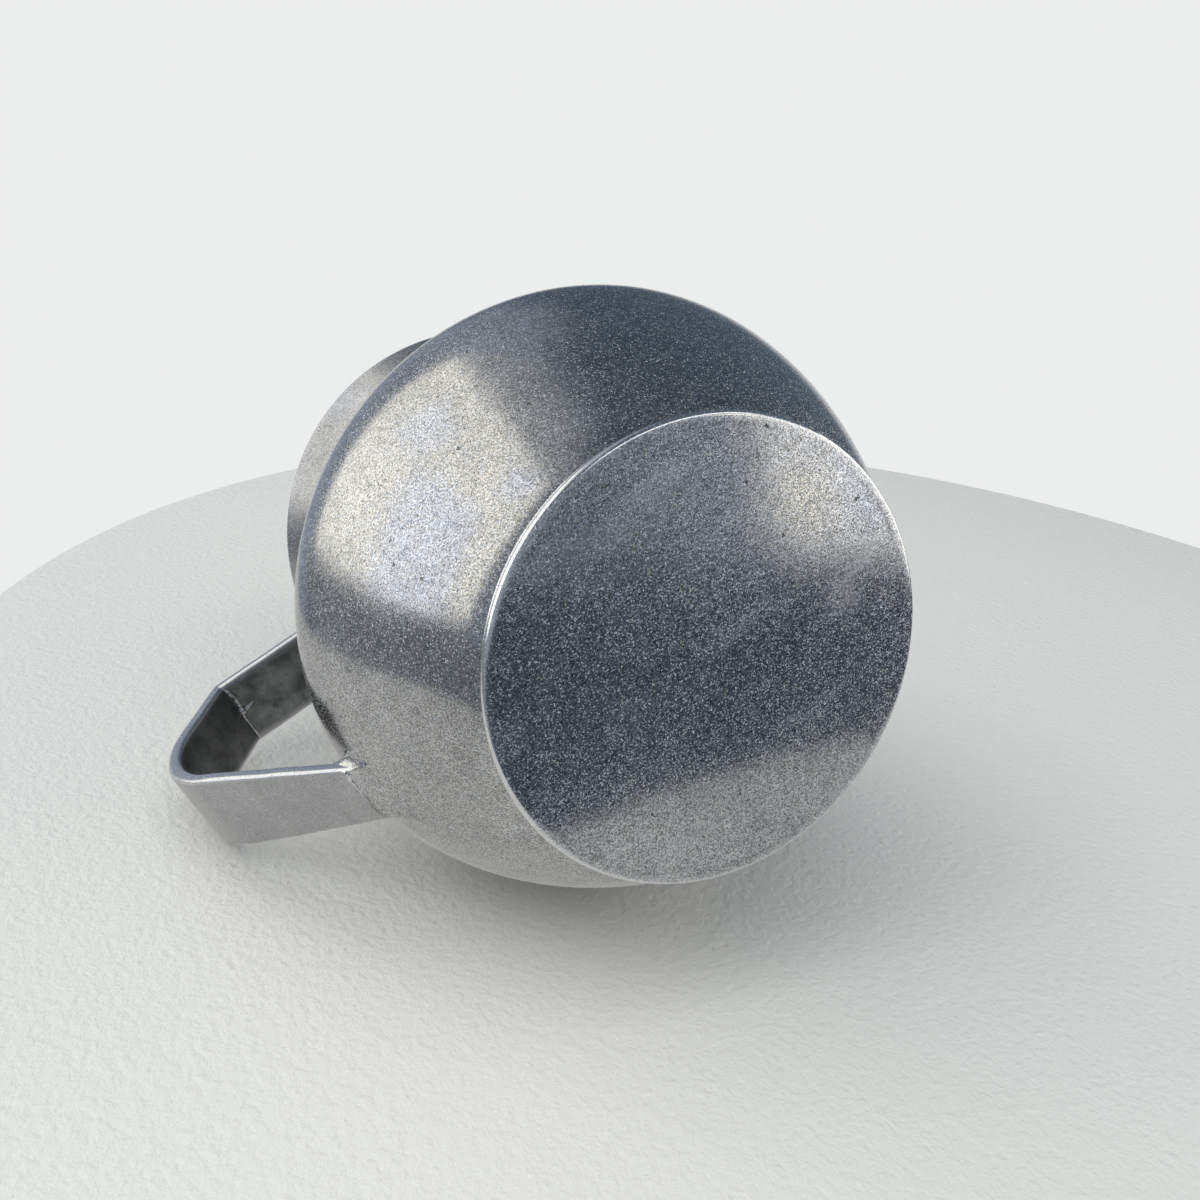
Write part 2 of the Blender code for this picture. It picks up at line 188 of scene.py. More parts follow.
def dots(tree, place, scale, size, share):
    """Small ragged dots, one in some of the cells of a random pattern."""
    shake = node(tree, "ShaderNodeTexNoise", {"Vector": place, "Scale": scale * 3, "Detail": 1.0})
    ragged = node(tree, "ShaderNodeVectorMath", {0: shake.outputs["Color"], "Scale": 0.5 / scale},
                  operation="SCALE").outputs[0]
    ragged = node(tree, "ShaderNodeVectorMath", {0: place, 1: ragged}, operation="ADD").outputs[0]
    cells = node(tree, "ShaderNodeTexVoronoi", {"Vector": ragged, "Scale": scale})
    pick = node(tree, "ShaderNodeSeparateColor", {"Color": cells.outputs["Color"]}).outputs["Red"]
    chosen = maths(tree, "LESS_THAN", pick, share)
    spot = ranged(tree, cells.outputs["Distance"], size, size * 0.45, smooth=True)
    return scaled(tree, chosen, spot)


def strokes(tree, place, angle, stretch, scale, low, high):
    """Streaks along one direction of the XY plane, from a noise that is squeezed across it."""
    turned_place = node(tree, "ShaderNodeMapping", {"Vector": place, "Rotation": (0, 0, math.radians(angle)),
                                                    "Scale": (1.0, stretch, 1.0)}).outputs["Vector"]
    return ranged(tree, noise_at(tree, turned_place, scale, 2.0, 0.5), low, high, smooth=True)


# About how many of each pattern go to a metre
CLOUDS, BLOTCHES, COARSE, FINE, FINEST = 26.0, 170.0, 1500.0, 3400.0, 6200.0
CRYSTALS, HOLLOWS, PITS, DENTS = 4000.0, 2600.0, 420.0, 170.0
print("widest and finest pattern:", round(1000 / CLOUDS, 1), "mm and", round(1000 / FINEST, 2), "mm")

# %% [markdown]
# ## The finishes
#
# One function makes all five finishes, from the plain handle to the rubbed base. It builds up
# colour, roughness and height side by side, because a crystal or a pit shows in more than one of
# them. Only the base has dents, cuts and hairlines too, from being set down and wiped.

# %% Scratches on the base
DENT_DARK, HAIR_PALE = (0.14, 0.145, 0.15, 1), (0.80, 0.81, 0.84, 1)
CUT_PALE, SMEAR_PALE = (0.75, 0.76, 0.77, 1), (0.70, 0.71, 0.73, 1)


def scratched(tree, place, marks, colour, rough, height):
    """Colour, roughness and height with the dents, cuts, hairlines and smears of use."""
    dents = dots(tree, place, DENTS, 0.10, 0.30 * marks)
    cuts = maths(tree, "MAXIMUM", strokes(tree, place, 24.0, 60.0, 55.0, 0.73, 0.76),
                 strokes(tree, place, -51.0, 60.0, 60.0, 0.73, 0.76))
    hairs = maths(tree, "MAXIMUM", strokes(tree, place, 12.0, 5.0, 700.0, 0.60, 0.74),
                  maths(tree, "MAXIMUM", strokes(tree, place, 74.0, 5.0, 730.0, 0.60, 0.74),
                        strokes(tree, place, 131.0, 5.0, 680.0, 0.60, 0.74)))
    smears = strokes(tree, place, -42.0, 2.5, 40.0, 0.52, 0.70)
    for pattern, share, shade in ((dents, 0.45, DENT_DARK), (hairs, 0.55 * marks, HAIR_PALE),
                                  (cuts, 0.45 * marks, CUT_PALE), (smears, 0.20 * marks, SMEAR_PALE)):
        colour = mixed(tree, scaled(tree, pattern, share), colour, shade)
    for pattern, share in ((hairs, 0.16 * marks), (smears, 0.06 * marks)):
        rough = added(tree, rough, scaled(tree, pattern, share))
    for pattern, depth in ((dents, 3.0), (cuts, 0.6 * marks)):
        height = maths(tree, "SUBTRACT", height, scaled(tree, pattern, depth))
    return colour, rough, height


print("scratches: dents, cuts, hairlines and smears")

# %% The pewter finishes
BRIGHT_CRYSTAL, PIT_DARK = (0.92, 0.93, 0.94, 1), (0.12, 0.125, 0.135, 1)
COOL, WARM = (0.95, 1.0, 1.06, 1), (1.06, 1.0, 0.92, 1)
INSIDE_DULL, BURNISHED = (0.26, 0.265, 0.27, 1), (0.84, 0.85, 0.86, 1)
# Dark colour for real grime and for painted shade on the handle's inner faces.
GRIME_AND_SHADE_DARK = (0.070, 0.072, 0.074, 1)


def pewter(name, dark, light, roughness, grain=1.0, relief=1.0, pits=0.05, marks=0.0):
    """Cast pewter: tarnish clouds, crystals, grain, pits, burnished edges, grime and painted shade in
    corners.
    """
    material = bpy.data.materials.new(name)
    material.use_nodes = True
    tree = material.node_tree
    shader = tree.nodes["Principled BSDF"]
    place = node(tree, "ShaderNodeTexCoord").outputs["Object"]
    sparkle = min(grain, 1.0)

    clouds = noise_at(tree, place, CLOUDS, 5.0, 0.62)
    blotches = noise_at(tree, place, BLOTCHES, 4.0, 0.62)
    coarse = noise_at(tree, place, COARSE, 3.0, 0.65)
    fine = noise_at(tree, place, FINE, 2.0, 0.7)
    crystals = node(tree, "ShaderNodeTexVoronoi", {"Vector": place, "Scale": CRYSTALS}).outputs["Color"]
    crystal = node(tree, "ShaderNodeSeparateColor", {"Color": crystals}).outputs
    finest = noise_at(tree, place, FINEST, 0.0, 0.5)
    hollow = ranged(tree, noise_at(tree, place, HOLLOWS, 2.0, 0.7), 0.63, 0.69, smooth=True)
    pit = maths(tree, "MAXIMUM", hollow, dots(tree, place, PITS, 0.22, pits))
    speck = ranged(tree, crystal["Red"], 0.90, 0.97)
    polish = node(tree, "ShaderNodeAttribute", attribute_name="polish").outputs["Fac"]
    inside = node(tree, "ShaderNodeAttribute", attribute_name="inside").outputs["Fac"]
    # One attribute holds real grime on the base's rim and painted shade on the handle's inner faces.
    grime_and_shade = node(tree, "ShaderNodeAttribute", attribute_name="grime_and_shade").outputs["Fac"]
    grime_and_shade = scaled(tree, grime_and_shade, ranged(tree, blotches, 0.36, 0.64, 0.62, 1.15))

    tone = added(tree, scaled(tree, clouds, 0.6), scaled(tree, blotches, 0.4))
    colour = mixed(tree, ranged(tree, tone, 0.38, 0.62), (*dark, 1), (*light, 1))
    grit = added(tree, scaled(tree, fine, 0.45), scaled(tree, coarse, 0.15))
    grit = added(tree, grit, scaled(tree, crystal["Red"], 0.40))
    grit = ranged(tree, grit, 0.36, 0.64, 1 - 0.42 * min(grain, 1.3), 1 + 0.42 * grain)
    colour = mixed(tree, 1.0, colour, grit, "MULTIPLY")
    tint = mixed(tree, ranged(tree, crystal["Green"], 0.2, 0.8), COOL, WARM)
    colour = mixed(tree, sparkle, colour, tint, "MULTIPLY")
    # Colour marks: pale crystals, dark pits, a dull inside, burnished edges, grime and painted shade.
    for pattern, share, shade in ((speck, 0.50 * sparkle - 0.25 * marks, BRIGHT_CRYSTAL),
                                  (pit, 0.80 * grain, PIT_DARK), (inside, 0.30, INSIDE_DULL),
                                  (polish, 0.70, BURNISHED), (grime_and_shade, 0.85, GRIME_AND_SHADE_DARK)):
        colour = mixed(tree, scaled(tree, pattern, share), colour, shade)

    rough = ranged(tree, clouds, 0.35, 0.65, roughness[0], roughness[1])
    rough = added(tree, rough, ranged(tree, coarse, 0.3, 0.7, -0.03, 0.03))
    rough = added(tree, rough, ranged(tree, crystal["Blue"], 0.70, 1.0, 0.0, 0.32 * sparkle))
    for pattern, share in ((speck, 0.45 * sparkle), (pit, 0.15), (inside, 0.10), (grime_and_shade, 0.15)):
        rough = added(tree, rough, scaled(tree, pattern, share))

    height = added(tree, scaled(tree, fine, 0.6), scaled(tree, finest, 0.4))
    height = added(tree, height, coarse)
    if marks:
        colour, rough, height = scratched(tree, place, marks, colour, rough, height)
    rough = maths(tree, "SUBTRACT", rough, scaled(tree, polish, 0.06))
    wave = node(tree, "ShaderNodeBump", {"Height": blotches, "Strength": 0.12 * relief, "Distance": 0.0003})
    grainy = node(tree, "ShaderNodeBump", {"Height": height, "Strength": 0.45 * relief, "Distance": 0.00005,
                                           "Normal": wave.outputs["Normal"]})
    pitted = node(tree, "ShaderNodeBump", {"Height": pit, "Strength": 0.9, "Distance": 0.00010,
                                           "Normal": grainy.outputs["Normal"]}, invert=True)

    shader.inputs["Metallic"].default_value = 1.0
    tree.links.new(colour, shader.inputs["Base Color"])
    tree.links.new(rough, shader.inputs["Roughness"])
    tree.links.new(pitted.outputs["Normal"], shader.inputs["Normal"])
    return material


body_pewter = pewter("body_pewter", (0.35, 0.355, 0.36), (0.49, 0.495, 0.50), (0.11, 0.16),
                     relief=0.38, pits=0.06)
base_pewter = pewter("base_pewter", (0.28, 0.29, 0.31), (0.41, 0.42, 0.44), (0.05, 0.085),
                     grain=1.6, relief=0.14, pits=0.09, marks=1.0)
# The collar is the body's pewter painted darker as painted shade, with a rougher, less grainy finish.
shaded_collar_pewter = pewter("shaded_collar_pewter", (0.28, 0.285, 0.295), (0.40, 0.405, 0.415), (0.19, 0.26),
                       grain=0.60, relief=0.5, pits=0.04)
handle_pewter = pewter("handle_pewter", (0.38, 0.385, 0.39), (0.47, 0.475, 0.48), (0.24, 0.31),
                       grain=0.28, relief=0.5, pits=0.02)
solder_pewter = pewter("solder_pewter", (0.50, 0.505, 0.51), (0.68, 0.685, 0.69), (0.17, 0.26),
                       grain=0.5, relief=1.0, pits=0.03)
print("finishes:", [m.name for m in (body_pewter, base_pewter, shaded_collar_pewter, handle_pewter, solder_pewter)])

# %% [markdown]
# ## Turning on a lathe of nodes
#
# Base, bowls and collar are all turned: a section goes once round the axis. A Geometry Nodes tree
# does that for every one of them. It takes a section, drawn as a curve, and wraps a grid round
# the axis so that each row of the grid follows the section point for point.

# %% The turning tree
TURN_STEPS = 288
MERGE = 0.000002


def turning_tree():
    tree = bpy.data.node_groups.new("Turned section", "GeometryNodeTree")
    face = tree.interface
    face.new_socket("Section", in_out="INPUT", socket_type="NodeSocketGeometry")
    for label, kind in (("Steps round", "NodeSocketInt"), ("Section points", "NodeSocketInt"),
                        ("Merge distance", "NodeSocketFloat"), ("Metal", "NodeSocketMaterial")):
        face.new_socket(label, in_out="INPUT", socket_type=kind)
    face.new_socket("Piece", in_out="OUTPUT", socket_type="NodeSocketGeometry")
    given = tree.nodes.new("NodeGroupInput").outputs
    result = tree.nodes.new("NodeGroupOutput")

    columns = added(tree, given["Steps round"], 1.0)
    grid = node(tree, "GeometryNodeMeshGrid", {"Vertices X": columns, "Vertices Y": given["Section points"]})
    index = tree.nodes.new("GeometryNodeInputIndex").outputs["Index"]
    row = maths(tree, "MODULO", index, given["Section points"])
    column = maths(tree, "FLOOR", maths(tree, "DIVIDE", index, given["Section points"]))
    place = tree.nodes.new("GeometryNodeInputPosition").outputs["Position"]
    point = node(tree, "GeometryNodeSampleIndex", data_type="FLOAT_VECTOR", domain="POINT")
    tree.links.new(given["Section"], point.inputs["Geometry"])
    tree.links.new(place, point.inputs["Value"])
    tree.links.new(row, point.inputs["Index"])
    angle = scaled(tree, maths(tree, "DIVIDE", column, given["Steps round"]), math.tau)
    around = node(tree, "ShaderNodeVectorRotate", {"Vector": point.outputs["Value"], "Angle": angle},
                  rotation_type="Z_AXIS")
    wrapped = node(tree, "GeometryNodeSetPosition", {"Geometry": grid.outputs["Mesh"],
                                                     "Position": around.outputs["Vector"]})
    closed = node(tree, "GeometryNodeMergeByDistance", {"Geometry": wrapped.outputs["Geometry"],
                                                        "Distance": given["Merge distance"]})
    real = node(tree, "GeometryNodeRealizeInstances", {"Geometry": closed.outputs["Geometry"]})
    metal = node(tree, "GeometryNodeSetMaterial", {"Geometry": real.outputs["Geometry"],
                                                   "Material": given["Metal"]})
    tree.links.new(metal.outputs["Geometry"], result.inputs["Piece"])
    return tree


turned_section = turning_tree()
print(turned_section.name, "has", len(turned_section.nodes), "nodes")


# %% From a section to a finished piece
def plain_mesh(item, name):
    """Swap an object with a modifier for the mesh that it makes."""
    bpy.context.view_layer.update()
    mesh = bpy.data.meshes.new_from_object(item.evaluated_get(bpy.context.evaluated_depsgraph_get()))
    bpy.data.objects.remove(item, do_unlink=True)
    return finished(name, mesh)


def finished(name, mesh, sharp=38.0):
    """A piece with its faces pointing out, smooth apart from corners past an angle in degrees."""
    shell = bmesh.new()
    shell.from_mesh(mesh)
    bmesh.ops.recalc_face_normals(shell, faces=shell.faces)
    shell.to_mesh(mesh)
    shell.free()
    mesh.shade_smooth()
    mesh.set_sharp_from_angle(angle=math.radians(sharp))
    piece = bpy.data.objects.new(name, mesh)
    bpy.context.scene.collection.objects.link(piece)
    print(name, len(mesh.polygons), "faces")
    return piece


def turned(name, section, metal):
    curve = bpy.data.curves.new(name + "_section", "CURVE")
    curve.dimensions = "3D"
    spline = curve.splines.new("POLY")
    spline.points.add(len(section) - 1)
    for slot, point in zip(spline.points, section):
        slot.co = (point.x, 0.0, point.y, 1.0)
    item = bpy.data.objects.new(name + "_section", curve)
    bpy.context.scene.collection.objects.link(item)
    lathe = item.modifiers.new("lathe", "NODES")
    lathe.node_group = turned_section
    sizes = {"Steps round": TURN_STEPS, "Section points": len(section),
             "Merge distance": MERGE, "Metal": metal}
    for socket in turned_section.interface.items_tree:
        if socket.in_out == "INPUT" and socket.name in sizes:
            lathe[socket.identifier] = sizes[socket.name]
    return plain_mesh(item, name)


print("each section is turned in", TURN_STEPS, "steps")


# %% Values on the points of a piece
def point_values(piece, name, rule):
    """A number for each point of a piece, which its material reads."""
    values = np.array([rule(vertex.co) for vertex in piece.data.vertices], np.float32)
    piece.data.attributes.new(name, "FLOAT", "POINT").data.foreach_set("value", values)


def clamped(value):
    return min(max(value, 0.0), 1.0)


def wobble(place, amount, fineness=90.0):
    """Small unevenness left by hand, nearly the same for places near each other."""
    return amount * noise.noise(place * fineness)


print("helpers: point_values, clamped, wobble")

# %% [markdown]
# ## The vessel
#
# The base is a flat disc with a thin rounded edge, soldered under the bowl with a hollow fillet.
# The bulb is two cast bowls whose seam is burnished away, and the collar is lapped on at the neck
# and has its lip drawn out. A hand-finished casting is never quite true, so a slow noise moves
# the skin by a few hundredths of a millimetre, and the reflections bend with it.

# %% Base plate
ARC_STEPS, FLAT_STEPS = 9, 40
BASE_EDGE_ROUND = BASE_THICKNESS * 0.47
SHINE_INSET, SHINE_FADE = 0.0013, 0.0008
DIRT_INSET, DIRT_WIDTH, UNDERSIDE = 0.0020, 0.0005, 0.0008


def along(start, end, steps):
    return [start.lerp(end, step / steps) for step in range(steps)]


def base_section():
    register = shifted(lower_line, -WALL)[0].x - REGISTER_CLEARANCE
    top, edge = BASE_THICKNESS, BASE_EDGE_ROUND
    section = along(Vector((0, top + REGISTER_HEIGHT)), Vector((register, top + REGISTER_HEIGHT)), FLAT_STEPS)
    section += [Vector((register, top + REGISTER_HEIGHT)), Vector((register, top))]
    for middle, first, last in ((top - edge, 90, 0), (edge, 0, -90)):
        for step in range(ARC_STEPS + 1):
            angle = math.radians(first + (last - first) * step / ARC_STEPS)
            section.append(Vector((BASE_RADIUS - edge + edge * math.cos(angle),
                                   middle + edge * math.sin(angle))))
    section += along(Vector((BASE_RADIUS - edge, 0)), Vector((0, 0)), FLAT_STEPS)[1:]
    return section + [Vector((0, 0))]


def rim_polish(place):
    """Full on the plate's rounded edge, fading over the last part of the flat."""
    return clamped((math.hypot(place.x, place.y) - (BASE_RADIUS - SHINE_INSET)) / SHINE_FADE)


def rim_grime(place):
    """A broken dark line where polish never reaches, just inside the plate's edge."""
    ring = math.exp(-((math.hypot(place.x, place.y) - BASE_RADIUS + DIRT_INSET) / DIRT_WIDTH) ** 2)
    return ring * max(0.0, 0.30 + wobble(place, 0.55, 70.0)) if place.z < UNDERSIDE else 0.0


base_plate = turned("base_disc", base_section(), base_pewter)
point_values(base_plate, "polish", rim_polish)
point_values(base_plate, "grime_and_shade", rim_grime)

# %% Solder between base and bowl
COVE_HEIGHT, COVE_SINK, COVE_INSET, COVE_POINTS = 0.0032, 0.00015, 0.0006, 20
COVE_HOLLOW, COVE_BACK_IN, COVE_BACK_DOWN = (0.0012, 0.0002), 0.0008, 0.0004
low = BASE_THICKNESS
tip = Vector((radius_at(low + COVE_HEIGHT) - COVE_SINK, low + COVE_HEIGHT))
toe = Vector((BASE_RADIUS - COVE_INSET, low))
hollow = (tip + toe) / 2 - Vector(COVE_HOLLOW)
cove_face = bezier(tip, hollow, hollow, toe, COVE_POINTS)
cove_back = [Vector((FOOT_RADIUS, low)), Vector((FOOT_RADIUS, foot.y)),
             Vector((tip.x - COVE_BACK_IN, tip.y - COVE_BACK_DOWN))]
base_solder = turned("base_fillet", cove_face + cove_back + cove_face[:1], solder_pewter)

# %% The two bowls and the collar
LIP_STEPS, LIP_FULLNESS = 8, 0.44
lower_bowl = turned("lower_bulb", lower_line[::-1] + shifted(lower_line, -WALL) + lower_line[-1:],
                    body_pewter)
upper_bowl = turned("upper_bulb", upper_line[::-1] + shifted(upper_line, -WALL) + upper_line[-1:],
                    body_pewter)
collar_inside = shifted(collar_line, -WALL)
lip_middle = (collar_line[-1] + collar_inside[-1]) / 2
lip_half = (collar_line[-1] - collar_inside[-1]) / 2
lip = []
for step in range(1, LIP_STEPS):
    angle = math.pi * step / LIP_STEPS
    lip.append(lip_middle - lip_half * math.cos(angle)
               + leaning(RIM_FLARE) * WALL * LIP_FULLNESS * math.sin(angle))
neck_collar = turned("flared_collar", lip[::-1] + [collar_inside[-1]] + collar_inside[-2::-1]
                     + collar_line + lip[-1:], shaded_collar_pewter)


def pull_lip(mesh):
    """Draw the lip outwards and up in front, fading down the collar and to both sides."""
    for vertex in mesh.vertices:
        place = vertex.co
        turn = math.degrees(math.atan2(place.y, place.x))
        depth = HEIGHT - place.z
        if abs(turn) < SPOUT_HALF_ANGLE and depth < SPOUT_DEPTH:
            share = math.cos(math.pi / 2 * turn / SPOUT_HALF_ANGLE) ** 2
            share *= max(0.0, 1 - max(depth, 0) / SPOUT_DEPTH) ** 2
            away = Vector((place.x, place.y, 0)).normalized()
            vertex.co += share * (SPOUT_REACH * away + Vector((0, 0, SPOUT_LIFT)))


pull_lip(neck_collar.data)

# %% Hand finish of the skin
INNER_SHARE = 0.6
LIP_SHINE_DEPTH, LIP_SHINE_FADE = 0.0002, 0.0010


def hand_finish(piece, amount=0.00010, size=0.022):
    """Move the skin a little towards the axis by a slow noise."""
    for vertex in piece.data.vertices:
        away = Vector((vertex.co.x, vertex.co.y, 0)).normalized()
        vertex.co += away * amount * (noise.noise(vertex.co / size) - 1) / 2
    piece.data.update()


def within(place):
    """One on the inner side of the wall, nought on the outer side."""
    return 1.0 if math.hypot(place.x, place.y) < radius_at(place.z) - WALL * INNER_SHARE else 0.0


def lip_polish(place):
    """Full on the rim of the mouth, where drink and cloth rub it."""
    return clamped((place.z - HEIGHT + LIP_SHINE_DEPTH) / LIP_SHINE_FADE)


for piece in (lower_bowl, upper_bowl, neck_collar):
    point_values(piece, "inside", within)
    hand_finish(piece)
point_values(neck_collar, "polish", lip_polish)
print("collar is", round(2 * max(v.co.y for v in neck_collar.data.vertices), 4), "wide")

# %% [markdown]
# ## The handle
#
# Two lengths of flat strap make it: one runs from the bowl up round the nose and back to a sharp
# crease, the other goes straight in to the neck. A strap is a section carried along a path, so
# each ring of points is placed by a station on the path and an offset across it. The last ring
# is run on until it meets the round wall, which gives the seat its true curve. The section is a
# little fuller on its inside than the solid's, and its edges are filed round.

# %% Path of the strap
LIMB_STATIONS, BEND_STATIONS, GRIP_STATIONS, ARM_STATIONS = 44, 40, 18, 36
FILE_DEPTH = 0.00002


def outwards(point):
    """From the handle's own plane, distance from the axis and height, to the pitcher's frame."""
    return Vector((-point.x, 0.0, point.y))


nose_centre = Vector((NOSE_REACH - FILE_DEPTH - STRAP_THICKNESS / 2 - BEND_RADIUS, NOSE_HEIGHT))
root = Vector((radius_at(ROOT_HEIGHT), ROOT_HEIGHT))
to_centre = nose_centre - root
limb_angle = math.atan2(to_centre.y, to_centre.x) - math.asin(BEND_RADIUS / to_centre.length)
limb_way = Vector((-math.cos(limb_angle), -math.sin(limb_angle)))
grip_way = Vector((-math.cos(math.radians(GRIP_ANGLE)), math.sin(math.radians(GRIP_ANGLE))))
bend_first, bend_last = limb_angle - math.pi / 2, math.pi / 2 - math.radians(GRIP_ANGLE)


def bend_point(angle, offset):
    return nose_centre + (BEND_RADIUS + offset) * Vector((math.cos(angle), math.sin(angle)))


def crease_point(offset):
    """Corner between grip and arm on the line that lies an offset outside the strap's middle."""
    middle = bend_point(bend_last, 0)
    middle = middle + grip_way * (ARM_HEIGHT - middle.y) / grip_way.y
    return middle + offset * Vector((math.tan(math.radians(GRIP_ANGLE / 2)), 1))


print("lower limb at", round(math.degrees(limb_angle), 1), "degrees")

# %% Section of the strap
OUTER_CORNER, INNER_CORNER, STRAP_CROWN = 0.0013, 0.0017, 0.0002
INNER_FULLNESS = 0.0009
EDGE_SHARE, EDGE_POLISH = 0.92, 0.45
# Painted shade on the strap's inner face, fading out towards its edges.
INNER_SHADE, SHADE_END, SHADE_FADE = 0.92, 0.97, 0.20


def strap_section(across_steps=18, corner_steps=7):
    """Offsets (through the thickness, along the width) once round the strap, and what shows there."""
    points = []
    for turn in range(4):
        sign_t, sign_w = ((1, 1), (-1, 1), (-1, -1), (1, -1))[turn]
        corner = OUTER_CORNER if sign_t > 0 else INNER_CORNER
        half = STRAP_THICKNESS / 2 if sign_t > 0 else STRAP_THICKNESS / 2 + INNER_FULLNESS
        for step in range(corner_steps + 1):
            angle = math.pi / 2 * (turn + step / corner_steps)
            points.append((sign_t * (half - corner) + corner * math.cos(angle),
                           sign_w * (STRAP_WIDTH / 2 - corner) + corner * math.sin(angle)))
        if turn in (1, 3):
            offset, side = points[-1]
            points += [(offset, side - 2 * side * step / across_steps) for step in range(1, across_steps)]
    crowned, looks = [], {"polish": [], "grime_and_shade": []}
    for offset, side in points:
        share = abs(side) / (STRAP_WIDTH / 2)
        crowned.append((offset - STRAP_CROWN * share**2 if offset > 0 else offset, side))
        # Burnished polish near the edges; painted shade on the inner face.
        looks["polish"].append(EDGE_POLISH if share > EDGE_SHARE else 0.0)
        looks["grime_and_shade"].append(INNER_SHADE * clamped((SHADE_END - share) / SHADE_FADE) if offset < 0 else 0.0)
    return crowned, looks


section_points, section_looks = strap_section()
print("strap section:", len(section_points), "points")

# %% Lofting
LONGEST_RUN, HALVINGS = 0.150, 40


def loft(name, rings, looks, metal, closed=False):
    """Skin over rings of points, capped at both ends or joined end to end."""
    shell = bmesh.new()
    layers = {look: shell.verts.layers.float.new(look) for look in looks}
    rows = []
    for ring in rings:
        row = [shell.verts.new(place) for place in ring]
        for look, values in looks.items():
            here = values[len(rows)] if isinstance(values[0], list) else values
            for vertex, value in zip(row, here):
                vertex[layers[look]] = value
        rows.append(row)
    count = len(rows[0])
    for first, second in zip(rows, rows[1:] + (rows[:1] if closed else [])):
        for index in range(count):
            after = (index + 1) % count
            shell.faces.new((first[index], first[after], second[after], second[index]))
    if not closed:
        shell.faces.new(rows[0][::-1])
        shell.faces.new(rows[-1])
    mesh = bpy.data.meshes.new(name)
    shell.to_mesh(mesh)
    shell.free()
    mesh.materials.append(metal)
    return finished(name, mesh, sharp=50.0)


def run_to_wall(start, way):
    """Length along a straight way from a start point until it meets the vessel's outside."""
    inside, outside = LONGEST_RUN, 0.0
    for _ in range(HALVINGS):
        middle = (inside + outside) / 2
        place = start + middle * way
        if math.hypot(place.x, place.y) > radius_at(place.z):
            outside = middle
        else:
            inside = middle
    return outside


limb_run = run_to_wall(outwards(bend_point(bend_first, 0)), outwards(limb_way))
print("lower limb runs", round(limb_run, 4), "to the bowl")

# %% The two lengths of strap
NOSE_SPREAD = 0.08
FILE_WANDER, FILE_LIFT = 0.00012, 0.00010
# Painted shade is left off the lower limb near the bowl and rises towards the nose.
UNSHADED_LIMB, SHADE_RISE = 0.55, 0.45


def strap_rings():
    rings = []
    way = outwards(limb_way)
    for station in range(LIMB_STATIONS, -1, -1):
        share = station / LIMB_STATIONS
        width = 1 + NOSE_SPREAD - (1 + NOSE_SPREAD - ROOT_WIDTH / STRAP_WIDTH) * share
        ring = []
        for offset, side in section_points:
            start = outwards(bend_point(bend_first, offset)) + Vector((0, side * width, 0))
            ring.append(start + way * share * run_to_wall(start, way))
        rings.append(ring)
    for station in range(1, BEND_STATIONS + 1):
        angle = bend_first + (bend_last - bend_first) * station / BEND_STATIONS
        width = 1 + NOSE_SPREAD * (1 - station / BEND_STATIONS)
        rings.append([outwards(bend_point(angle, offset)) + Vector((0, side * width, 0))
                      for offset, side in section_points])
    for station in range(1, GRIP_STATIONS + 1):
        share = station / GRIP_STATIONS
        rings.append([outwards(bend_point(bend_last, offset).lerp(crease_point(offset), share))
                      + Vector((0, side, 0)) for offset, side in section_points])
    return rings


def arm_rings():
    way = Vector((1, 0, 0))
    rings = []
    for station in range(ARM_STATIONS + 1):
        share = station / ARM_STATIONS
        ring = []
        for offset, side in section_points:
            start = outwards(crease_point(offset)) + Vector((0, side, 0))
            ring.append(start + way * share * run_to_wall(start, way))
        rings.append(ring)
    return rings


def filed(rings):
    """Rings made a little uneven, sideways and up and down by two different patterns."""
    elsewhere = Vector((0.3, 0, 0))
    return [[place + Vector((0, wobble(place, FILE_WANDER), wobble(place + elsewhere, FILE_LIFT)))
             for place in ring] for ring in rings]


def strap_looks(count):
    """Painted shade inside the nose and the grip, fading out along the lower limb, none near the bowl."""
    reach = [clamped((index / LIMB_STATIONS - UNSHADED_LIMB) / SHADE_RISE) for index in range(count)]
    return {"polish": [section_looks["polish"]] * count,
            "grime_and_shade": [[value * share for value in section_looks["grime_and_shade"]] for share in reach]}


limb_and_grip = filed(strap_rings())
handle_strap = loft("strap", limb_and_grip, strap_looks(len(limb_and_grip)), handle_pewter)
handle_arm = loft("strap_arm", filed(arm_rings()), section_looks, handle_pewter)

# %% [markdown]
# ## Solder at the ends of the handle
#
# Molten solder creeps into a corner and sets with a hollow face, a little uneven by hand. So each
# fillet is a row of small curves, one for every point round the strap, that leave the strap on
# one side and run out on the wall on the other. At the root the solder is fuller and dressed down
# like the bowl's own metal, with a bright bead left along its near side.

# %% Where a place meets the wall
SLOPE_STEP, WALL_STEPS = 0.0004, 8


def wall_normal(place):
    rise = radius_at(place.z + SLOPE_STEP) - radius_at(place.z - SLOPE_STEP)
    slope = rise / (2 * SLOPE_STEP)
    around = math.atan2(place.y, place.x)
    return Vector((math.cos(around), math.sin(around), -slope)).normalized()


def on_wall(place):
    """The point moved along the wall's own direction onto the wall."""
    normal = wall_normal(place)
    for _ in range(WALL_STEPS):
        gap = math.hypot(place.x, place.y) - radius_at(place.z)
        place = place - normal * gap * Vector((normal.x, normal.y, 0)).length
    return place


root_slope = math.degrees(math.asin(wall_normal(outwards(root)).z))
print("wall at the root faces", round(-root_slope, 1), "degrees below level")

# %% Fillets round the strap's ends
FILLET_POINTS, FILLET_CROWDING, SHINE_POINTS = 9, 1.4, 5
STRAP_SINK, WALL_SINK, BACK_SINK = 0.00012, 0.00015, 0.0003


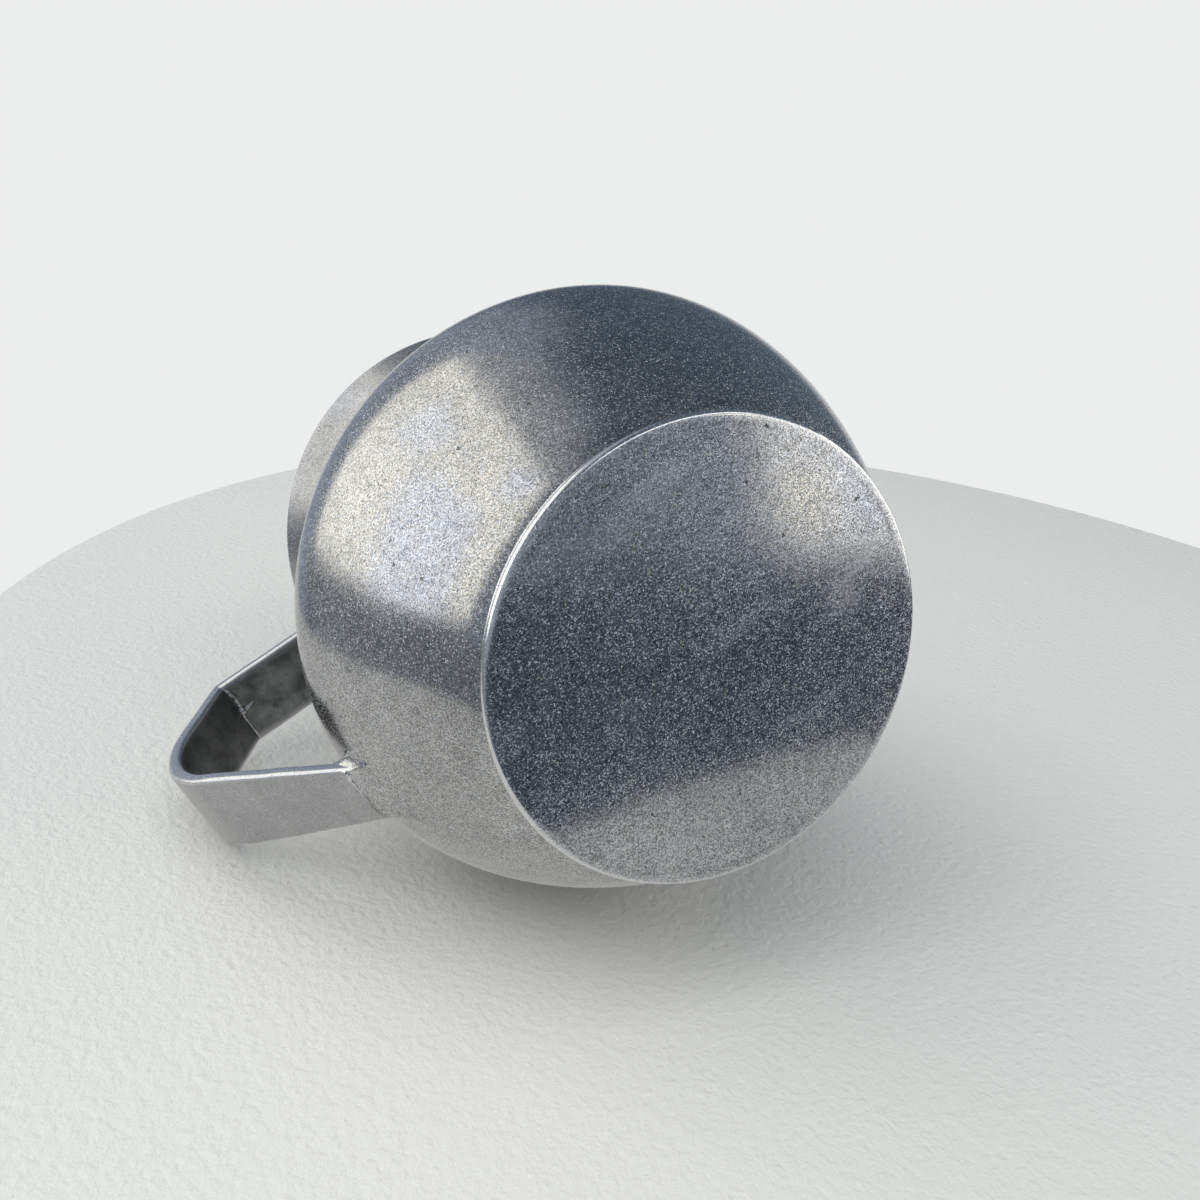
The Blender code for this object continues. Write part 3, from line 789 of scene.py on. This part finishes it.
def seat_fillet(name, seat, way, sizes, metal):
    """Solder between a strap and the wall, along the closed line where they meet.

    Each place has its reach up the strap and out on the wall, its fullness, from nought for a deep
    hollow to a half for a flat face, and its shine and its darkening beside the strap.
    """
    centre = sum(seat, Vector()) / len(seat)
    rings, looks = [], {"polish": [], "grime_and_shade": []}
    for place, (up_strap, out_wall, fullness, shine, darkening) in zip(seat, sizes):
        normal = wall_normal(place)
        away = place - centre
        away = (away - normal * away.dot(normal)).normalized()
        uneven = 1 + wobble(place, 0.18, 260.0) + wobble(place, 0.10, 900.0)
        sunk = away - way * away.dot(way)
        high = place - way * up_strap * uneven - sunk.normalized() * STRAP_SINK
        low_end = on_wall(place + away * out_wall * uneven) - normal * WALL_SINK
        inner = place + (away * out_wall - way * up_strap) * fullness
        face = []
        for step in range(FILLET_POINTS):
            t = (step / (FILLET_POINTS - 1)) ** FILLET_CROWDING
            face.append(high * (1 - t) ** 2 + inner * 2 * t * (1 - t) + low_end * t * t)
        rings.append(face + [place - normal * BACK_SINK])
        streak = shine * (0.8 + wobble(place, 0.5, 1400.0))
        fading = [streak * max(0.0, 1 - step / SHINE_POINTS) for step in range(FILLET_POINTS)]
        looks["polish"].append(fading + [0.0])
        # Darker beside the strap by each place's darkening, and at the hidden back point.
        looks["grime_and_shade"].append([darkening, darkening * 0.6] + [0.0] * (FILLET_POINTS - 2) + [0.5])
    return loft(name, rings, looks, metal, closed=True), rings


print("a fillet has", FILLET_POINTS, "points across, at", len(section_points), "places")

# %% Solder at the root and at the arm's end
ROOT_CLIMB, ROOT_LEAN = 0.0104, 0.0027
ROOT_SPREAD, ROOT_SPREAD_LOSS = 0.0062, 0.0026
ROOT_FULLNESS, ROOT_FULLNESS_LOSS = 0.42, 0.30
NEAR_START, NEAR_SPAN = 0.35, 1.35
ARM_FILLET = (0.0024, 0.0022, 0.05, 0.5, 0.2)
root_sizes = []
for offset, side in section_points:
    across = side / (STRAP_WIDTH / 2)
    inner_side = min(0.5 - 0.5 * offset / (STRAP_THICKNESS / 2), 1.0)
    edge = max(inner_side, across**6)
    near_side = clamped((NEAR_START - across) / NEAR_SPAN)
    root_sizes.append((ROOT_CLIMB - ROOT_LEAN * across, ROOT_SPREAD - ROOT_SPREAD_LOSS * edge,
                       ROOT_FULLNESS - ROOT_FULLNESS_LOSS * edge,
                       near_side**1.5, (1 - near_side) * (1 - inner_side)))
root_solder, root_faces = seat_fillet("root_fillet", strap_rings()[0], outwards(limb_way), root_sizes,
                                      body_pewter)
arm_solder, _ = seat_fillet("arm_fillet", arm_rings()[-1], Vector((1, 0, 0)),
                            [ARM_FILLET] * len(section_points), solder_pewter)

# %% Bead along the root's near side
RIDGE_SIDES = 10
BEAD_THIN, BEAD_SWELL, BEAD_FADE = 0.00012, 0.00042, 0.52
BEAD_FAR_END, BEAD_INNER_END = 0.0010, -0.0004


def ridge(path, radii):
    """Rings of a tube along a path, each with its own radius."""
    turns = [math.tau * k / RIDGE_SIDES for k in range(RIDGE_SIDES)]
    rings = []
    for index, place in enumerate(path):
        ahead = path[min(index + 1, len(path) - 1)] - path[max(index - 1, 0)]
        ahead.normalize()
        side = ahead.orthogonal().normalized()
        up = ahead.cross(side)
        rings.append([place + radii[index] * (side * math.cos(turn) + up * math.sin(turn)) for turn in turns])
    return rings


bead_path, bead_radii = [], []
for (offset, side), face in zip(section_points, root_faces):
    share = 0.5 + side / STRAP_WIDTH
    if side < BEAD_FAR_END and offset > BEAD_INNER_END:
        bead_path.append(face[1].lerp(face[2], 1 - share))
        swell = BEAD_THIN + BEAD_SWELL * max(0.0, 1 - share / BEAD_FADE)
        bead_radii.append(swell * (1 + wobble(face[2], 0.35, 1700.0)))
bead = loft("root_bead", ridge(bead_path, bead_radii), {"polish": [0.6] * RIDGE_SIDES}, solder_pewter)

# %% [markdown]
# ## The raised seam in the crease
#
# Where the two straps are mitred, a thin ridge of solder stands up inside the corner, and a drop
# of it has run out over the arm, so that the seam looks like the letter Y. The tube that made the
# bead does for both, with a radius that changes along a short path.

# %% Crease seam
SEAM_STEPS, RUN_STEPS = 36, 12
SEAM_INSET, SEAM_SHIFT, SEAM_WANDER = 0.0016, 0.0002, 0.0005
SEAM_STRAY, SEAM_STRAY_END = 0.0011, 0.55
SEAM_THICK, SEAM_THIN, SEAM_THIN_FROM = 0.00092, 0.00048, 0.52
FORK, FORK_WIDTH, FORK_SWELL = 0.47, 0.05, 0.5
SEAM_END, SEAM_END_RISE = 0.3, 8
RUN_AHEAD, RUN_ASIDE, RUN_LIFT = 0.0008, 0.0006, 0.0001
RUN_LENGTH, RUN_SWERVE, RUN_RADIUS, RUN_TAPER = 0.0040, 0.0006, 0.00085, 0.65
corner = outwards(crease_point(-STRAP_THICKNESS / 2 - INNER_FULLNESS))
seam_path, seam_radii = [], []
for step in range(SEAM_STEPS + 1):
    share = step / SEAM_STEPS
    side = (share - 0.5) * (STRAP_WIDTH - SEAM_INSET)
    astray = SEAM_STRAY * max(0.0, math.sin(math.pi * min(share / SEAM_STRAY_END, 1.0)))
    shift = SEAM_SHIFT + astray + wobble(Vector((side, 2, 0)), SEAM_WANDER)
    seam_path.append(corner + Vector((shift, side, 0.0)))
    lump = 1 + 0.35 * noise.noise(Vector((side * 700, 5, 1)))
    lump += FORK_SWELL * math.exp(-((share - FORK) / FORK_WIDTH) ** 2)
    taper = min(1, SEAM_END_RISE * share + SEAM_END, SEAM_END_RISE * (1 - share) + SEAM_END)
    seam_radii.append((SEAM_THICK if share < SEAM_THIN_FROM else SEAM_THIN) * lump * taper)
run_path, run_radii = [], []
for step in range(RUN_STEPS + 1):
    share = step / RUN_STEPS
    run_path.append(corner + Vector((RUN_AHEAD + RUN_LENGTH * share,
                                     -RUN_ASIDE - RUN_SWERVE * share**2, RUN_LIFT)))
    run_radii.append(RUN_RADIUS * (1 - RUN_TAPER * share))
seam_looks = {"polish": [0.0] * RIDGE_SIDES, "grime_and_shade": [0.35] * RIDGE_SIDES}
seam = loft("crease_seam", ridge(seam_path, seam_radii), seam_looks, solder_pewter)
run = loft("crease_seam_run", ridge(run_path, run_radii), seam_looks, solder_pewter)

# %% Each piece stands for its solid
stands_for = {
    base_plate: ("base_plate", "base_pewter"),
    base_solder: ("base_solder", "solder"),
    lower_bowl: ("lower_bowl", "body_pewter"),
    upper_bowl: ("upper_bowl", "body_pewter"),
    neck_collar: ("neck_collar", "body_pewter"),
    handle_strap: ("handle_strap", "handle_pewter"),
    handle_arm: ("handle_arm", "handle_pewter"),
    root_solder: ("handle_root_solder", "solder"),
    bead: ("handle_root_solder", "solder"),
    arm_solder: ("handle_arm_solder", "solder"),
    seam: ("mitre_solder", "solder"),
    run: ("mitre_solder", "solder"),
}
for piece, (cad_node, slot) in stands_for.items():
    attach(piece, "root")
    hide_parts(cad_node)
print(len(stands_for), "pieces stand for", len({cad_node for cad_node, _ in stands_for.values()}), "solids")

# %% [markdown]
# ## Table, light and camera
#
# The pitcher lies on its side on a round pale table, with its belly, its rim and the nose of its
# handle within a millimetre of it. That gives the table's plane in the pitcher's own frame. Metal
# shows what is round it, so the room matters as much as the finish: a broad window on the left, a
# smaller one on the right, a high one behind on the right that lights the base's edge, a pale
# background, and dim surroundings elsewhere.

# %% Directions of the room
TABLE_AZIMUTH, TABLE_ELEVATION, TABLE_DISTANCE = math.radians(121.46), math.radians(9.48), 0.0856
CAMERA_PLACE = Vector((-0.06892, -0.12805, -0.20928))
CAMERA_RIGHT = Vector((0.7911, 0.4475, -0.4170))
CAMERA_UP = Vector((0.5697, -0.7873, 0.2359))
CAMERA_WAY = CAMERA_UP.cross(CAMERA_RIGHT)
room_down = Vector((math.cos(TABLE_ELEVATION) * math.cos(TABLE_AZIMUTH),
                    math.cos(TABLE_ELEVATION) * math.sin(TABLE_AZIMUTH), math.sin(TABLE_ELEVATION)))
room_up = -room_down
room_ahead = (CAMERA_WAY - room_up * CAMERA_WAY.dot(room_up)).normalized()
room_right = room_ahead.cross(room_up)


def room_way(azimuth, elevation):
    """Direction in the room: azimuth to the right of straight ahead, elevation above the table."""
    a, e = math.radians(azimuth), math.radians(elevation)
    return (room_ahead * math.cos(a) + room_right * math.sin(a)) * math.cos(e) + room_up * math.sin(e)


print("camera looks down by", round(-math.degrees(math.asin(CAMERA_WAY.dot(room_up))), 1), "degrees")

# %% Table
TABLE_RADIUS, TABLE_AHEAD, TABLE_RIGHT, TABLE_STEPS = 0.312, 0.176, 0.065, 256
table_middle = room_down * TABLE_DISTANCE + room_ahead * TABLE_AHEAD + room_right * TABLE_RIGHT
disc = bmesh.new()
table_edge = []
for step in range(TABLE_STEPS):
    turn = math.tau * step / TABLE_STEPS
    ahead_share, right_share = math.cos(turn), math.sin(turn)
    power = 2 if ahead_share >= 0 else 4
    reach = TABLE_RADIUS / (abs(ahead_share) ** power + abs(right_share) ** power) ** (1 / power)
    table_edge.append(disc.verts.new(reach * (ahead_share * room_ahead + right_share * room_right)))
table_top = disc.faces.new(table_edge)
disc.normal_update()
if table_top.normal.dot(room_up) < 0:
    bmesh.ops.reverse_faces(disc, faces=[table_top])
table_mesh = bpy.data.meshes.new("table")
disc.to_mesh(table_mesh)
disc.free()
table = bpy.data.objects.new("table", table_mesh)
table.location = table_middle
bpy.context.scene.collection.objects.link(table)
print("table:", len(table_mesh.vertices), "points round its edge")

# %% Paint of the table
SKIN_FINENESS, GLOW_SHARE = 420.0, 0.6
table_paint = bpy.data.materials.new("table_paint")
table_paint.use_nodes = True
tree = table_paint.node_tree
paint = tree.nodes["Principled BSDF"]
paint.inputs["Base Color"].default_value = (0.70, 0.70, 0.665, 1)
paint.inputs["Roughness"].default_value = 0.55
place = node(tree, "ShaderNodeTexCoord").outputs["Object"]
skin = node(tree, "ShaderNodeBump", {"Height": noise_at(tree, place, SKIN_FINENESS), "Strength": 0.75,
                                     "Distance": 0.0009})
tree.links.new(skin.outputs["Normal"], paint.inputs["Normal"])
see_through = node(tree, "ShaderNodeBsdfTransparent")
from_below = node(tree, "ShaderNodeNewGeometry").outputs["Backfacing"]
glow = node(tree, "ShaderNodeEmission", {"Color": (0.63, 0.63, 0.61, 1)})
mirrored = scaled(tree, node(tree, "ShaderNodeLightPath").outputs["Is Glossy Ray"], GLOW_SHARE)
top = node(tree, "ShaderNodeMixShader", {0: mirrored, 1: paint.outputs[0], 2: glow.outputs[0]})
shown = node(tree, "ShaderNodeMixShader", {0: from_below, 1: top.outputs[0], 2: see_through.outputs[0]})
tree.links.new(shown.outputs[0], tree.nodes["Material Output"].inputs["Surface"])
table_mesh.materials.append(table_paint)
print("table paint:", len(tree.nodes), "nodes")

# %% Masks for the windows
world = bpy.data.worlds.new("room")
world.use_nodes = True
bpy.context.scene.world = world
tree = world.node_tree
look = node(tree, "ShaderNodeTexCoord").outputs["Generated"]


def facing(direction):
    made = node(tree, "ShaderNodeVectorMath", {0: look, 1: direction}, operation="DOT_PRODUCT")
    return made.outputs["Value"]


def window(azimuth, elevation, half_width, half_height, softness, tilt, side_softness):
    """Mask of a soft-edged rectangle far away, its sizes as tangents of half its angles."""
    middle = room_way(azimuth, elevation)
    level_way = room_way(azimuth + 90, 0)
    turn = Matrix.Rotation(math.radians(tilt), 3, middle)
    across, upright = turn @ level_way, turn @ level_way.cross(middle)
    depth = facing(middle)
    safe = maths(tree, "MAXIMUM", depth, 0.001)
    sides = maths(tree, "ABSOLUTE", maths(tree, "DIVIDE", facing(across), safe))
    ends = maths(tree, "ABSOLUTE", maths(tree, "DIVIDE", facing(upright), safe))
    in_width = ranged(tree, sides, half_width + side_softness, half_width - side_softness, smooth=True)
    in_height = ranged(tree, ends, half_height + softness, half_height - softness, smooth=True)
    mask = scaled(tree, in_width, in_height)
    return scaled(tree, mask, maths(tree, "GREATER_THAN", depth, 0.0))


print("masks for the windows are ready in", world.name)

# %% Room of soft windows
# Azimuth, elevation, half width, half height, softness, tilt, softness of the sides, colour
PANES = (
    (-42, 15, 0.42, 0.80, 0.15, 0, 0.15, (0.32, 0.37, 0.46)),
    (-94, 44, 0.70, 0.55, 0.35, 10, 0.30, (0.58, 0.60, 0.64)),
    (-93, 26, 0.70, 0.58, 0.10, 9, 0.04, (1.72, 1.67, 1.55)),
    (-104, 15, 0.22, 0.34, 0.03, 9, 0.05, (1.55, 1.60, 1.73)),
    (-116, 49, 0.10, 0.10, 0.03, 9, 0.05, (1.55, 1.60, 1.73)),
    (-76, 36, 0.11, 0.12, 0.03, 9, 0.05, (1.55, 1.60, 1.73)),
    (84, 14.0, 0.775, 0.33, 0.03, 0, 0.04, (1.72, 1.69, 1.62)),
    (128, 46, 0.42, 0.18, 0.06, 0, 0.10, (1.55, 1.57, 1.60)),
    (119.0, -1.1, 0.020, 0.022, 0.008, 0, 0.008, (1.86, 1.73, 1.42)),
    (116.4, -0.4, 0.018, 0.030, 0.008, 0, 0.008, (1.52, 1.60, 1.80)),
)
MID_DIM, HIGH_DIM, AHEAD_DIM = (0.33, 0.37, 0.43, 1), (0.10, 0.13, 0.17, 1), (0.09, 0.13, 0.18, 1)
LOW_LEFT_DIM, LOW_RIGHT_DIM = (0.25, 0.27, 0.31, 1), (0.095, 0.117, 0.155, 1)
PALE_BACKGROUND = (0.84, 0.845, 0.85, 1)
level = facing(room_up)
ahead = facing(room_ahead)
dim = mixed(tree, ranged(tree, level, 0.30, 0.80, smooth=True), MID_DIM, HIGH_DIM)
low_dim = mixed(tree, ranged(tree, facing(room_right), -0.5, 0.3, smooth=True), LOW_LEFT_DIM, LOW_RIGHT_DIM)
dim = mixed(tree, ranged(tree, level, -0.11, -0.02, smooth=True), low_dim, dim)
light = mixed(tree, ranged(tree, ahead, 0.1, 0.7, smooth=True), dim, AHEAD_DIM)
for *shape, colour in PANES:
    light = mixed(tree, window(*shape), light, (*colour, 1))
behind = ranged(tree, facing(CAMERA_WAY), 0.86, 0.92, smooth=True)
rays = node(tree, "ShaderNodeLightPath").outputs
seen = scaled(tree, added(tree, rays["Is Glossy Ray"], rays["Is Transmission Ray"]), behind)
seen = maths(tree, "ADD", rays["Is Camera Ray"], seen, clamp=True)
light = mixed(tree, seen, light, PALE_BACKGROUND)
tree.links.new(light, tree.nodes["Background"].inputs["Color"])
print("room:", len(PANES), "panes,", len(tree.nodes), "nodes")

# %% Lamp over the table
LAMP_ABOVE, LAMP_LEFT, LAMP_BACK = 0.90, 0.24, 0.28
lamp = bpy.data.lights.new("lamp_over_table", "AREA")
lamp.shape = "DISK"
lamp.size = 1.3
lamp.energy = 6.5
lamp_item = bpy.data.objects.new("lamp_over_table", lamp)
lamp_item.location = (table_middle + room_up * LAMP_ABOVE - room_right * LAMP_LEFT
                      - room_ahead * LAMP_BACK)
lamp_item.rotation_mode = "QUATERNION"
lamp_item.rotation_quaternion = (table_middle - lamp_item.location).to_track_quat("-Z", "Y")
lamp_item.visible_glossy = False
bpy.context.scene.collection.objects.link(lamp_item)
print("lamp:", round(lamp.size, 2), "m across,", round(lamp.energy, 2), "W")

# %% Camera
camera = bpy.data.cameras.new("camera")
camera.sensor_width = 36.0
camera.lens = 36.0
camera.clip_start = 0.01
camera_item = bpy.data.objects.new("camera", camera)
camera_item.matrix_world = Matrix.Translation(CAMERA_PLACE) @ Matrix(
    (CAMERA_RIGHT, CAMERA_UP, -CAMERA_WAY)).transposed().to_4x4()
bpy.context.scene.collection.objects.link(camera_item)
bpy.context.scene.camera = camera_item
bpy.context.scene.view_settings.view_transform = "Standard"
print("camera:", camera.lens, "mm lens")
